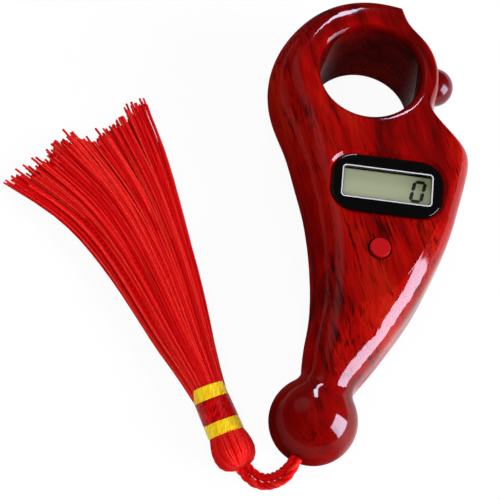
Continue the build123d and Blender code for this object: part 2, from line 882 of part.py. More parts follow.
for number, (name, start, end) in enumerate(band_places):
    radius = band_radius - number * band_taper
    with BuildPart() as band:
        with BuildSketch(tassel_plane):
            with BuildLine():
                ThreePointArc(
                    (start, radius), ((start + end) / 2, radius + band_crown), (end, radius - band_taper)
                )
                Polyline(
                    (end, radius - band_taper), (end, core_radius), (start, core_radius), (start, radius)
                )
            make_face()
        revolve(axis=tassel_line)
    export(band, name)

# Bound neck of the threads and the fan of their free ends, resting on the surface
with BuildPart() as tassel_skirt:
    with BuildSketch(Plane(tassel_centre + tassel_axis * tassel_head_front, z_dir=tassel_axis)):
        Circle(core_radius)
    extrude(amount=neck_end - tassel_head_front)
    for run, left_share, right_share, depth_share, slant in skirt_shares:
        reach = (left_share + right_share) * skirt_half_width / 2
        shift = (right_share - left_share) * skirt_half_width / 2
        depth = depth_share * skirt_depth
        spot = tassel_centre + tassel_axis * (neck_end + run * skirt_length) + tassel_side * shift
        section_centre = Vector(spot.X, spot.Y, floor + (tassel_head_radius if run == 0 else depth / 2))
        section_axis = tassel_axis.rotate(Axis.Z, slant)
        section_side = tassel_side.rotate(Axis.Z, slant)
        with BuildSketch(Plane(section_centre, x_dir=section_side, z_dir=section_axis)):
            Ellipse(reach, depth / 2)
    loft()
export(tassel_skirt, "tassel_skirt")

print("ball", ball_centre, "display", display_centre, "reset", reset_centre)
print("floor", -half_thickness, "tassel", tassel_centre, "cell", cell_centre)
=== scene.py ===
import json
import math
import random

import bpy
from mathutils import Matrix, Vector

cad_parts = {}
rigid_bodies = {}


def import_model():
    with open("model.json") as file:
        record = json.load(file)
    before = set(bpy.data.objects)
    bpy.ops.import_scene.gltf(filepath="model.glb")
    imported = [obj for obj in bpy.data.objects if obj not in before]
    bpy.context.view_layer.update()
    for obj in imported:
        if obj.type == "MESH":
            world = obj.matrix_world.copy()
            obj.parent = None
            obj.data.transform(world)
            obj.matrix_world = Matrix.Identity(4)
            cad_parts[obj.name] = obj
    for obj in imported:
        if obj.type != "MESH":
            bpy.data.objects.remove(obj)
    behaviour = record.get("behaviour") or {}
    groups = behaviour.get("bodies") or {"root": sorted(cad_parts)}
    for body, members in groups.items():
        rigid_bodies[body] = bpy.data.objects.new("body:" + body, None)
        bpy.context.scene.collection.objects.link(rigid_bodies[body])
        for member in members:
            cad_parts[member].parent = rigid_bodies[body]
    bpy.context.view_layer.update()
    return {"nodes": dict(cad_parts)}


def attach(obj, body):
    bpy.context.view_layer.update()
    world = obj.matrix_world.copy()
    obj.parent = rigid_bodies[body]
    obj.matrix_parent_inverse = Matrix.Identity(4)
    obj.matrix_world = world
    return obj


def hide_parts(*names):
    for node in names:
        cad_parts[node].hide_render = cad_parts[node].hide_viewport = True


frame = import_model()
cadNodes = frame["nodes"]
mm = 0.001
perMm = 1000.0                            # scale of a pattern 1 mm wide
print("frame loaded:", len(cadNodes), "nodes")


def fromHex(text):
    parts = [int(text[i:i + 2], 16) / 255 for i in (1, 3, 5)]
    linear = [p / 12.92 if p <= 0.04045 else ((p + 0.055) / 1.055) ** 2.4 for p in parts]
    return (*linear, 1.0)


def grey(value):
    return (value, value, value, 1.0)


def addNode(tree, kind, values=None, stops=None, **settings):
    # a socket among the values is linked, anything else becomes the input's own value
    node = tree.nodes.new(kind)
    for key, value in settings.items():
        setattr(node, key, value)
    for key, value in (values or {}).items():
        if isinstance(value, bpy.types.NodeSocket):
            tree.links.new(value, node.inputs[key])
        else:
            node.inputs[key].default_value = value
    if stops:
        ramp = node.color_ramp.elements
        while len(ramp) < len(stops):
            ramp.new(0.5)
        for element, (place, tone) in zip(ramp, stops):
            element.position = place
            element.color = fromHex(tone) if isinstance(tone, str) else grey(tone)
    return node


def newMaterial(name):
    material = bpy.data.materials.new(name)
    material.use_nodes = True
    material.node_tree.nodes.clear()
    return material, material.node_tree


def endMaterial(material, values):
    # every finish ends in one shader
    tree = material.node_tree
    shader = addNode(tree, "ShaderNodeBsdfPrincipled", values)
    addNode(tree, "ShaderNodeOutputMaterial", {"Surface": shader.outputs["BSDF"]})
    return material


def setMaterial(piece, material):
    piece.data.materials.clear()
    piece.data.materials.append(material)


def pickOnly(piece):
    bpy.ops.object.select_all(action="DESELECT")
    piece.select_set(True)
    bpy.context.view_layer.objects.active = piece


def applyPlace(piece):
    pickOnly(piece)
    bpy.ops.object.transform_apply(location=True, rotation=True, scale=True)


def applyModifier(piece, kind, **settings):
    pickOnly(piece)
    modifier = piece.modifiers.new(kind.title(), kind)
    for key, value in settings.items():
        setattr(modifier, key, value)
    bpy.ops.object.modifier_apply(modifier=modifier.name)


def faceOut(piece):
    pickOnly(piece)
    bpy.ops.object.mode_set(mode="EDIT")
    bpy.ops.mesh.select_all(action="SELECT")
    bpy.ops.mesh.normals_make_consistent(inside=False)
    bpy.ops.object.mode_set(mode="OBJECT")


def joinInto(piece, others):
    pickOnly(piece)
    for other in others:
        other.select_set(True)
    bpy.ops.object.join()


# Camera at the photo's angle
cameraView = {
    "place": (-43.2, -233.5, 382.7),      # mm from the finger hole's centre
    "right": (0.99073, 0.08866, 0.10290),
    "up": (-0.12540, 0.88812, 0.44218),
    "back": (-0.05218, -0.45098, 0.89101),
    "lens": 152.54,
    "sensor": 36.0,
    "clip": (0.01, 20.0),                 # m
}


def makeCamera(view):
    bpy.ops.object.camera_add()
    camera = bpy.context.object
    camera.name = "photoCamera"
    axes = Matrix((view["right"], view["up"], view["back"])).transposed()
    camera.matrix_world = Matrix.Translation(Vector(view["place"]) * mm) @ axes.to_4x4()
    camera.data.lens = view["lens"]
    camera.data.sensor_width = view["sensor"]
    camera.data.clip_start, camera.data.clip_end = view["clip"]
    bpy.context.scene.camera = camera


makeCamera(cameraView)
print("camera set")

# The tassel's own frame: axis from its head to the ends, side to its right seen from above
tasselFrame = {
    "head": (-20.1, -80.4, -6.0),         # mm
    "angle": 117.4,                       # degrees from the X axis
    "floor": -10.4,                       # mm, height that the lowest threads lie on
    "neckEnd": 13.8,                      # mm along the axis
}
tasselAxis = Vector((math.cos(math.radians(tasselFrame["angle"])),
                     math.sin(math.radians(tasselFrame["angle"])), 0))
tasselSide = Vector((tasselAxis.y, -tasselAxis.x, 0))
tasselHead = Vector(tasselFrame["head"])


def onTassel(run, side, height):
    spot = tasselHead + tasselAxis * run + tasselSide * side
    return Vector((spot.x, spot.y, height))


def newCurve(name):
    curve = bpy.data.curves.new(name, "CURVE")
    curve.dimensions = "3D"
    return curve


def addLine(curve, places, smoothness, radius=1.0):
    # a smooth line from the first place to the last, with the places in mm as its control points
    spline = curve.splines.new("NURBS")
    spline.points.add(len(places) - 1)
    for point, place in zip(spline.points, places):
        point.co = (*(Vector(place) * mm), 1.0)
        point.radius = radius
    spline.order_u = 3
    spline.use_endpoint_u = True
    spline.resolution_u = smoothness


def threadTubes(name, routes, radius, sides, smoothness, radii=None):
    # one tube for each route, ends closed, made a mesh at the end
    curve = newCurve(name)
    curve.bevel_depth = radius * mm
    curve.bevel_resolution = sides
    curve.use_fill_caps = True
    curve.resolution_u = smoothness
    for number, route in enumerate(routes):
        addLine(curve, route, smoothness, radii[number] if radii else 1.0)
    piece = bpy.data.objects.new(name, curve)
    bpy.context.scene.collection.objects.link(piece)
    pickOnly(piece)
    bpy.ops.object.convert(target="MESH")
    bpy.ops.object.shade_smooth()
    return piece


# Cord: its route, the same points as the solid tube, in mm
cordRoute = {
    "points": (
        (-7.18, -81.5, 0.0),
        (-8.62, -85.92, 0.0),
        (-11.1, -86.6, -5.3),
        (-14.0, -86.0, -8.6),
        (-17.2, -84.1, -7.9),
        (-20.1, -80.4, -6.2),
        (-22.7, -75.5, -6.1),
        (-24.7, -70.6, -5.9),
    ),
    "steps": 16,                          # between two points
    "length": 33.0,
    "width": 2.9,
    "strandOffset": 0.87,                 # two strands of the loop lie side by side
    "strandTurns": 0.3,                   # over the whole length
    "startTurn": 105.0,                   # degrees
    "plies": 3,
    "plyRadius": 0.48,
    "plyOffset": 0.42,
    "plyPitch": 5.0,
    "mouth": (2.5, 6.0, 0.7),             # drawn together in the ball's hole, full from the second run on
}


def readRoute(points, steps):
    curve = newCurve("cordLine")
    addLine(curve, points, steps)
    line = bpy.data.objects.new("cordLine", curve)
    bpy.context.scene.collection.objects.link(line)
    mesh = bpy.data.meshes.new_from_object(line)
    places = [vertex.co.copy() for vertex in mesh.vertices]
    bpy.data.objects.remove(line)
    bpy.data.meshes.remove(mesh)
    return places


def framesAlong(places):
    # place, normal, side and run so far, with the least twist from one to the next
    frames = []
    normal = Vector((0, 0, 1))
    run = 0.0
    for number, place in enumerate(places):
        before = places[max(number - 1, 0)]
        after = places[min(number + 1, len(places) - 1)]
        ahead = (after - before).normalized()
        normal = (normal - ahead * normal.dot(ahead)).normalized()
        run += (place - before).length
        frames.append((place, normal.copy(), ahead.cross(normal), run))
    return frames


def makeCord(cord):
    places = readRoute(cord["points"], cord["steps"])
    frames = framesAlong(places)
    total = frames[-1][3]
    tight, free, squeeze = cord["mouth"]
    routes = []
    for strand in (0, 1):
        for ply in range(cord["plies"]):
            route = []
            for place, normal, side, run in frames:
                opened = min(max((run / mm - tight) / (free - tight), 0), 1)
                spread = squeeze + (1 - squeeze) * opened
                turn = math.radians(cord["startTurn"]) + math.pi * strand
                turn += 2 * math.pi * cord["strandTurns"] * run / total
                lay = 2 * math.pi * (ply / cord["plies"] + run / (cord["plyPitch"] * mm))
                off = Vector()
                for angle, reach in ((turn, cord["strandOffset"]), (lay, cord["plyOffset"])):
                    off += (normal * math.cos(angle) + side * math.sin(angle)) * reach * spread * mm
                route.append((place + off) / mm)
            routes.append(route)
    piece = threadTubes("tasselCord", routes, cord["plyRadius"], sides=2, smoothness=1)
    return piece, places


cordPiece, cordPlaces = makeCord(cordRoute)
print("cord made:", len(cordPiece.data.polygons), "faces")

# Knot inside the ball that holds the cord: a plain overhand knot
knotForm = {"place": (-6.36, -78.98, 0.0), "reach": 0.62, "tube": 0.62, "points": 48}


def makeKnot(knot):
    centre = Vector(knot["place"])
    route = []
    for number in range(knot["points"] + 1):
        a = 2 * math.pi * number / knot["points"]
        route.append(centre + knot["reach"] * Vector((
            math.sin(a) + 2 * math.sin(2 * a),
            math.cos(a) - 2 * math.cos(2 * a),
            -2 * math.sin(3 * a),
        )))
    return threadTubes("cordKnot", [route], knot["tube"], sides=2, smoothness=1)


knotPiece = makeKnot(knotForm)


def between(rows, place):
    if place <= rows[0][0]:
        return list(rows[0][1:])
    for low, high in zip(rows, rows[1:]):
        if place <= high[0]:
            share = (place - low[0]) / (high[0] - low[0])
            return [a + (b - a) * share for a, b in zip(low[1:], high[1:])]
    return list(rows[-1][1:])


# Filling under the outer threads of the head and the skirt
fillingForm = {"segments": 32, "rings": 24, "pole": 0.01}


def makeFilling(low, high, sizeAt):
    # a ball shaped along the tassel: sizeAt gives middle and reach across, middle height and reach up
    bpy.ops.mesh.primitive_uv_sphere_add(segments=fillingForm["segments"],
                                         ring_count=fillingForm["rings"], radius=1.0)
    filling = bpy.context.object
    for vertex in filling.data.vertices:
        run = low + (high - low) * (vertex.co.z + 1) / 2
        middle, reach, height, rise = sizeAt(run)
        flat = math.hypot(vertex.co.x, vertex.co.y)
        share = 0.0 if flat < fillingForm["pole"] else 1 / flat
        side = middle + reach * vertex.co.x * share
        vertex.co = onTassel(run, side, height + rise * vertex.co.y * share) * mm
    faceOut(filling)
    bpy.ops.object.shade_smooth()
    return filling


# Tassel head: threads drawn over the bulb from the first band to where the cord goes in
headForm = {
    "seed": 31,
    "threads": 92,
    "threadRadius": 0.26,
    # run along the axis and radius, mm
    "profile": ((3.4, 3.1), (2.6, 3.35), (1.6, 3.66), (0.5, 3.95), (-0.8, 4.1), (-2.1, 3.98),
                (-3.2, 3.45), (-3.9, 2.6), (-4.2, 1.7), (-4.3, 0.9), (-4.25, 0.2)),
    "bulbInset": 0.1,
    "jitter": 0.02,                       # radians
    "lean": 0.10,                         # radians from end to end
    "wander": 0.06,                       # mm
}


def makeHead(form):
    random.seed(form["seed"])
    profile = form["profile"]
    routes = []
    for number in range(form["threads"]):
        angle = 2 * math.pi * number / form["threads"] + random.uniform(-form["jitter"], form["jitter"])
        lean = random.uniform(-form["lean"], form["lean"])
        proud = random.uniform(-form["wander"], form["wander"])
        route = []
        for step, (run, radius) in enumerate(profile):
            a = angle + lean * step / len(profile)
            r = radius + proud
            route.append(onTassel(run, r * math.cos(a), tasselHead.z + r * math.sin(a)))
        routes.append(route)
    threads = threadTubes("headThreads", routes, form["threadRadius"], sides=0, smoothness=1)
    rows = sorted((run, radius - form["bulbInset"]) for run, radius in profile)

    def bulbSize(run):
        radius = between(rows, run)[0]
        return 0.0, radius, tasselHead.z, radius

    joinInto(threads, [makeFilling(rows[0][0], rows[-1][0], bulbSize)])
    return threads


headPiece = makeHead(headForm)
print("head made:", len(headPiece.data.polygons), "faces")

# Bands: fine thread wound round the neck, one screw of turns for each
bandForm = {
    # name, start along the axis, length, radius at the start and at the end
    "bands": (("lowerBand", 2.9, 3.14, 3.75, 3.66), ("middleBand", 5.85, 5.0, 3.70, 3.58),
              ("upperBand", 10.66, 3.14, 3.58, 3.48)),
    "threadRadius": 0.16,
    "sides": 8,                           # of the thread
    "pitch": 0.235,
    "steps": 40,                          # in each turn
    "slant": 0.25,                        # the turns lean towards the head on top
}


def makeBand(name, start, length, radius, endRadius, form):
    thread = form["threadRadius"]
    turns = round((length - 2 * thread) / form["pitch"])
    pitch = (length - 2 * thread) / turns
    bpy.ops.mesh.primitive_circle_add(vertices=form["sides"], radius=thread * mm, fill_type="NOTHING",
                                      location=((radius - thread) * mm, 0, 0),
                                      rotation=(math.pi / 2, 0, 0))
    band = bpy.context.object
    band.name = name
    applyPlace(band)
    applyModifier(band, "SCREW", axis="Z", screw_offset=pitch * mm, iterations=turns,
                  steps=form["steps"], render_steps=form["steps"], use_normal_calculate=True,
                  use_merge_vertices=False)
    # the thread's two ends are closed
    bpy.ops.object.mode_set(mode="EDIT")
    bpy.ops.mesh.select_all(action="SELECT")
    bpy.ops.mesh.edge_face_add()
    bpy.ops.object.mode_set(mode="OBJECT")
    faceOut(band)
    bpy.ops.object.shade_smooth()
    for vertex in band.data.vertices:
        narrow = 1 + (endRadius / radius - 1) * vertex.co.z / (length * mm)
        vertex.co.x *= narrow
        vertex.co.y *= narrow
        vertex.co.z -= form["slant"] * vertex.co.y
    axes = Matrix((-tasselSide, Vector((0, 0, 1)), tasselAxis)).transposed()
    place = tasselHead + tasselAxis * (start + thread)
    band.matrix_world = Matrix.Translation(place * mm) @ axes.to_4x4()
    applyPlace(band)
    return band


bandPieces = {row[0]: makeBand(*row, bandForm) for row in bandForm["bands"]}
print("bands wound")

# Skirt: loose threads that fan out over the table, in mm
skirtForm = {
    "seed": 7,
    "threads": 560,
    "bundles": 56,
    "bundleJitter": 0.2,                  # radians
    "threadRadius": 0.26,
    "thickness": (0.88, 1.1),             # share of the radius, thinnest and thickest
    # run from the neck, reach to the left and right, depth
    "sections": ((-4.0, 2.9, 2.9, 6.0), (0.0, 3.2, 3.2, 6.4), (11.3, 6.5, 5.85, 7.4),
                 (26.5, 8.7, 8.45, 7.1), (41.6, 12.4, 10.5, 6.07), (50.0, 16.8, 11.7, 5.3),
                 (57.5, 23.0, 12.6, 4.2), (63.0, 26.8, 13.0, 3.4), (68.0, 29.8, 13.2, 3.0)),
    "ease": 5.0,                          # run over which two sections blend
    "settled": 11.3,                      # run from the neck where the skirt lies on the table
    # where the ends stop: place across from -1 to 1, run from the neck
    "ends": ((-1.0, 56.2), (-0.8, 56.6), (-0.6, 57.4), (-0.4, 58.4), (-0.2, 60.0), (-0.05, 62.4),
             (0.05, 63.0), (0.14, 61.4), (0.24, 59.6), (0.36, 60.0), (0.5, 61.2), (0.62, 62.4),
             (0.75, 63.6), (0.84, 65.4), (0.92, 66.4), (1.0, 64.6)),
    "endJitter": 1.0,
    "endShort": 1.0,                      # threads in the middle stop short by about this
    "strays": (0.12, 1.2, 3.4),           # share of threads that stand out past the rest, and by how far
    "gather": 0.45,                       # how far a thread moves to the middle of its bundle
    "gatherRange": (0.5, 1.2),            # share of it from thread to thread
    "hold": (2.0, 0.35),                  # how soon a bundle draws together, how much it loosens again
    "points": 9,                          # along each thread
    "drift": 0.05,                        # share of the reach, by which a thread leaves its line
    "driftEdge": 0.25,                    # share of the drift that stays at the sides
    "driftPower": 1.6,                    # how late along the thread it shows
    "wave": 0.013,                        # share of the reach
    "waveTurns": (9, 7),                  # radians from end to end, across and up
    "core": (-3.0, 51.0, 0.75),           # packed threads under the outer ones: start, end, how far below
    "coreTaper": (0.8, 5),                # share of its depth that goes by the end, and how late
}


def eased(rows, place, reach):
    # mean of three places, so that no thread kinks where two sections meet
    samples = [between(rows, place + step * reach) for step in (-1, 0, 1)]
    return [sum(values) / 3 for values in zip(*samples)]


def sectionAt(form, run):
    # middle and reach across, middle height and half the depth
    left, right, depth = eased(form["sections"], run, form["ease"])
    settled = max(0.0, min(1.0, run / form["settled"]))
    height = tasselHead.z + (tasselFrame["floor"] + depth / 2 - tasselHead.z) * settled
    return (right - left) / 2, (right + left) / 2, height, depth / 2


def threadEnd(form, u):
    end = between(form["ends"], max(-1, min(1, u)))[0]
    end += random.gauss(0, form["endJitter"]) - abs(random.gauss(0, form["endShort"])) * (1 - abs(u))
    strayShare, strayLow, strayHigh = form["strays"]
    if random.random() < strayShare:
        end += random.uniform(strayLow, strayHigh) - form["endJitter"]
    return end


def makeSkirt(form):
    random.seed(form["seed"])
    golden = math.pi * (3 - math.sqrt(5))
    centres = []
    for number in range(form["bundles"]):
        r = math.sqrt((number + 0.5) / form["bundles"])
        a = number * golden + random.uniform(-form["bundleJitter"], form["bundleJitter"])
        centres.append((r * math.cos(a), r * math.sin(a)))
    start = form["sections"][0][0]
    low = tasselFrame["floor"] + form["threadRadius"]
    draw, loosen = form["hold"]
    acrossTurns, upTurns = form["waveTurns"]
    routes = []
    radii = []
    for number in range(form["threads"]):
        r = math.sqrt((number + 0.5) / form["threads"])
        u, v = r * math.cos(number * golden), r * math.sin(number * golden)
        near = min(centres, key=lambda c: (c[0] - u) ** 2 + (c[1] - v) ** 2)
        gather = form["gather"] * random.uniform(*form["gatherRange"])
        driftU = random.gauss(0, form["drift"]) * max(form["driftEdge"], 1 - abs(u))
        driftV = random.gauss(0, form["drift"])
        end = threadEnd(form, u)
        wave = random.uniform(0, 2 * math.pi)
        route = []
        for step in range(form["points"]):
            share = step / (form["points"] - 1)
            run = start + (end - start) * share
            middle, reach, height, half = sectionAt(form, run)
            hold = gather * min(1, share * draw) * (1 - loosen * share)
            spread = share ** form["driftPower"]
            across = u + (near[0] - u) * hold + driftU * spread
            across += form["wave"] * math.sin(wave + acrossTurns * share)
            deep = v + (near[1] - v) * hold + driftV * spread
            deep += form["wave"] * math.sin(2 * wave + upTurns * share)
            rise = max(low, height + deep * (half - form["threadRadius"]))
            route.append(onTassel(tasselFrame["neckEnd"] + run, middle + across * reach, rise))
        routes.append(route)
        radii.append(random.uniform(*form["thickness"]))
    threads = threadTubes("skirtThreads", routes, form["threadRadius"], sides=0, smoothness=2, radii=radii)
    coreStart, coreEnd, inset = form["core"]
    taper, late = form["coreTaper"]

    def coreSize(place):
        run = place - tasselFrame["neckEnd"]
        middle, reach, height, half = sectionAt(form, run)
        thin = 1 - taper * max(0.0, (run - coreStart) / (coreEnd - coreStart)) ** late
        return middle, reach - inset, height, (half - inset) * thin

    core = makeFilling(tasselFrame["neckEnd"] + coreStart, tasselFrame["neckEnd"] + coreEnd, coreSize)
    joinInto(threads, [core])
    return threads


skirtPiece = makeSkirt(skirtForm)
print("skirt made:", len(skirtPiece.data.polygons), "faces")


def makePlate(centre, size, height, corner, steps):
    # a flat plate in mm, its corners rounded in steps or cut in one
    bpy.ops.mesh.primitive_plane_add(size=1.0)
    plate = bpy.context.object
    plate.dimensions = (size[0] * mm, size[1] * mm, 0)
    plate.location = (centre[0] * mm, centre[1] * mm, height * mm)
    applyPlace(plate)
    bpy.ops.object.mode_set(mode="EDIT")
    bpy.ops.mesh.select_all(action="SELECT")
    bpy.ops.mesh.bevel(offset=corner * mm, segments=steps, affect="VERTICES")
    bpy.ops.object.mode_set(mode="OBJECT")
    return plate


def raisePlate(plate, rise):
    pickOnly(plate)
    bpy.ops.object.mode_set(mode="EDIT")
    bpy.ops.mesh.select_all(action="SELECT")
    bpy.ops.mesh.extrude_region_move(TRANSFORM_OT_translate={"value": (0, 0, rise * mm)})
    bpy.ops.object.mode_set(mode="OBJECT")
    faceOut(plate)


# Display: white line printed round the window
lineForm = {"centre": (5.0, -26.5), "inside": (18.1, 6.9), "corner": 0.6, "cornerSteps": 8,
            "width": 0.26, "top": 10.2, "rise": 0.03}


def makeWindowLine(form):
    width = form["width"]
    outer = [size + 2 * width for size in form["inside"]]
    line = makePlate(form["centre"], outer, form["top"], form["corner"] + width, form["cornerSteps"])
    line.name = "windowLine"
    bpy.ops.object.mode_set(mode="EDIT")
    bpy.ops.mesh.select_all(action="SELECT")
    bpy.ops.mesh.inset(thickness=width * mm)
    bpy.ops.mesh.delete(type="FACE")
    bpy.ops.object.mode_set(mode="OBJECT")
    raisePlate(line, form["rise"])
    return line


linePiece = makeWindowLine(lineForm)

# Display: the segments of one digit
digitForm = {"left": 10.42, "right": 12.55, "low": -28.4, "high": -23.95, "bar": 0.72, "gap": 0.1,
             "cornerShare": 0.42, "lean": 10.0, "face": 8.4, "rise": 0.03}


def makeDigit(form):
    bar, gap = form["bar"], form["gap"]
    centre = (form["left"] + form["right"]) / 2
    middle = (form["low"] + form["high"]) / 2
    width = form["right"] - form["left"]
    half = (form["high"] - form["low"]) / 2
    bars = [((centre, y), (width - 2 * gap, bar)) for y in (form["low"], form["high"])]
    bars += [((x, middle + side * half / 2), (bar, half - 2 * gap))
             for x in (form["left"], form["right"]) for side in (-1, 1)]
    made = []
    for spot, size in bars:
        piece = makePlate(spot, size, form["face"], bar * form["cornerShare"], 1)
        raisePlate(piece, form["rise"])
        made.append(piece)
    digit = made[0]
    joinInto(digit, made[1:])
    digit.name = "digitSegments"
    slope = math.tan(math.radians(form["lean"]))
    for vertex in digit.data.vertices:
        vertex.co.x += (vertex.co.y - middle * mm) * slope
    return digit


digitPiece = makeDigit(digitForm)
print("display detail made")

# Moulded ABS with a printed rosewood film under clear lacquer: lengthwise streaks, mirror gloss
rosewoodLook = {
    # noise across and along the grain in mm, and what it shows from one level to the next
    "marks": {
        "film": (7.5, 30.0, ((0.32, "#540202"), (0.42, "#7c0302"), (0.5, "#8f0502"), (0.58, "#950a04"),
                             (0.7, "#9c1607"))),
        "fibre": (0.4, 8.0, ((0.34, 0.74), (0.6, 1.06))),
        "cluster": (6.5, 20.0, ((0.44, 0.06), (0.58, 1.0))),
        "streak": (0.9, 11.0, ((0.52, 0.0), (0.66, 0.9))),
        "vein": (0.5, 8.0, ((0.57, 0.0), (0.66, 0.85))),
    },
    "grain": {"Detail": 3.0, "Roughness": 0.55},
    "bends": ((26.0, 4.0), (6.0, 0.8)),   # mm, width of each bend in the grain and its reach
    "turn": 19.0,                         # degrees from the Y axis
    "streakColour": "#150101",
    # near black, painted as shade in the display opening and round the reset button's hole
    "paintedShadeColour": "#0b0606",
    "window": ((5.0, -26.5, 0.0), (11.6, 6.2, 9.55)),   # mm, inside the display opening: unfilmed moulding, darkened near black as painted shade
    "resetHole": ((4.3, -41.1, 0.0), 2.45),             # mm, painted shadow in the gap round the reset button's hole
    "bore": (10.6, 11.6),                 # mm, the lacquer thins out inside the finger hole, and the hole is darkened there as painted shade
    "borePaintedShade": "#acacac",
    "ball": (-72.0, -62.0),               # mm along Y, the colour turns darker over the ball
    "ballShare": 0.55,
    "ballColour": "#540202",
    # lacquer gloss by how far the surface turns away, turns right or leans down the handle
    "frontGloss": {"From Min": 0.24, "From Max": 0.5, "To Min": 1.0},
    "rightGloss": {"From Min": 0.1, "From Max": 0.7, "To Min": 0.03, "To Max": 0.65},
    "lowerWay": (0.5, 0.85, 0.0),
    "lowerGloss": {"From Min": -0.45, "From Max": -0.1, "To Min": 0.2, "To Max": 1.0},
    "boreGloss": {"From Min": 0.6, "From Max": 0.95, "To Min": 0.02, "To Max": 0.22},
    "finish": {"Roughness": 0.5, "IOR": 1.5, "Specular IOR Level": 0.0, "Coat Roughness": 0.07,
               "Coat IOR": 1.47},
}


def grainColour(tree, place, look):
    for width, reach in look["bends"]:
        warp = addNode(tree, "ShaderNodeTexNoise", {"Vector": place, "Scale": perMm / width, "Detail": 1.0})
        push = addNode(tree, "ShaderNodeVectorMath", {0: warp.outputs["Color"], 1: (0.5, 0.5, 0.5)},
                       operation="SUBTRACT")
        place = addNode(tree, "ShaderNodeVectorMath",
                        {0: push.outputs["Vector"], 1: (reach * mm, 0.0, reach * mm), 2: place},
                        operation="MULTIPLY_ADD").outputs["Vector"]
    grain = addNode(tree, "ShaderNodeMapping",
                    {"Vector": place, "Rotation": (0, 0, -math.radians(look["turn"]))})
    shown = {}
    for name, (across, along, stops) in look["marks"].items():
        pull = addNode(tree, "ShaderNodeMapping",
                       {"Vector": grain.outputs["Vector"], "Scale": (1.0, across / along, 1.0)})
        noise = addNode(tree, "ShaderNodeTexNoise",
                        {"Vector": pull.outputs["Vector"], "Scale": perMm / across, **look["grain"]})
        ramp = addNode(tree, "ShaderNodeValToRGB", {"Fac": noise.outputs["Fac"]}, stops=stops)
        shown[name] = ramp.outputs["Color"]
    film = addNode(tree, "ShaderNodeMix", {"Factor": 1.0, 6: shown["film"], 7: shown["fibre"]},
                   data_type="RGBA", blend_type="MULTIPLY")
    dark = addNode(tree, "ShaderNodeMath", {0: shown["streak"], 1: shown["vein"]}, operation="MAXIMUM")
    dark = addNode(tree, "ShaderNodeMath", {0: dark.outputs["Value"], 1: shown["cluster"]},
                   operation="MULTIPLY")
    colour = addNode(tree, "ShaderNodeMix", {"Factor": dark.outputs["Value"], 6: film.outputs[2],
                                             7: fromHex(look["streakColour"])}, data_type="RGBA")
    return colour.outputs[2]


def fromAxis(tree, place, centre):
    # distance from an upright axis
    spot = addNode(tree, "ShaderNodeVectorMath", {0: place, 1: [-c * mm for c in centre]}, operation="ADD")
    flat = addNode(tree, "ShaderNodeVectorMath", {0: spot.outputs["Vector"], 1: (1.0, 1.0, 0.0)},
                   operation="MULTIPLY")
    away = addNode(tree, "ShaderNodeVectorMath", {0: flat.outputs["Vector"]}, operation="LENGTH")
    return away.outputs["Value"]


def paintedOpeningShade(tree, place, colour, look):
    # painted shade: near black inside the display opening, where the moulding is also unfilmed, and round
    # the reset button's hole
    centre, half = look["window"]
    spot = addNode(tree, "ShaderNodeVectorMath", {0: place, 1: [-c * mm for c in centre]}, operation="ADD")
    share = addNode(tree, "ShaderNodeVectorMath",
                    {0: spot.outputs["Vector"], 1: [1 / (h * mm) for h in half]}, operation="MULTIPLY")
    share = addNode(tree, "ShaderNodeVectorMath", {0: share.outputs["Vector"]}, operation="ABSOLUTE")
    sides = addNode(tree, "ShaderNodeSeparateXYZ", {"Vector": share.outputs["Vector"]})
    widest = addNode(tree, "ShaderNodeMath", {0: sides.outputs["X"], 1: sides.outputs["Y"]},
                     operation="MAXIMUM")
    widest = addNode(tree, "ShaderNodeMath", {0: widest.outputs["Value"], 1: sides.outputs["Z"]},
                     operation="MAXIMUM")
    inWindow = addNode(tree, "ShaderNodeMath", {0: widest.outputs["Value"], 1: 1.0}, operation="LESS_THAN")
    # painted shadow in the gap round the reset button
    centre, radius = look["resetHole"]
    inHole = addNode(tree, "ShaderNodeMath", {0: fromAxis(tree, place, centre), 1: radius * mm},
                     operation="LESS_THAN")
    for mask in (inWindow, inHole):
        # each mask turns the colour to painted shade
        openingShade = addNode(tree, "ShaderNodeMix", {"Factor": mask.outputs["Value"], 6: colour,
                                               7: fromHex(look["paintedShadeColour"])}, data_type="RGBA")
        colour = openingShade.outputs[2]
    return colour


def lacquerGloss(tree, bore, look):
    # it eases off towards the edges of the form and inside the finger hole
    edge = addNode(tree, "ShaderNodeLayerWeight", {"Blend": 0.5})
    normal = addNode(tree, "ShaderNodeNewGeometry").outputs["Normal"]
    faces = addNode(tree, "ShaderNodeSeparateXYZ", {"Vector": normal})
    lean = addNode(tree, "ShaderNodeVectorMath", {0: normal, 1: look["lowerWay"]}, operation="DOT_PRODUCT")
    lower = addNode(tree, "ShaderNodeMapRange", {"Value": lean.outputs["Value"], **look["lowerGloss"]})
    right = addNode(tree, "ShaderNodeMapRange", {"Value": faces.outputs["X"], **look["rightGloss"]})
    front = addNode(tree, "ShaderNodeMapRange", {"Value": edge.outputs["Facing"], **look["frontGloss"],
                                                 "To Max": right.outputs["Result"]})
    inner = addNode(tree, "ShaderNodeMapRange", {"Value": edge.outputs["Facing"], **look["boreGloss"]})
    outer = addNode(tree, "ShaderNodeMath", {0: front.outputs["Result"], 1: lower.outputs["Result"]},
                    operation="MULTIPLY")
    gloss = addNode(tree, "ShaderNodeMix", {"Factor": bore, 2: inner.outputs["Result"],
                                            3: outer.outputs["Value"]})
    return gloss.outputs[0]


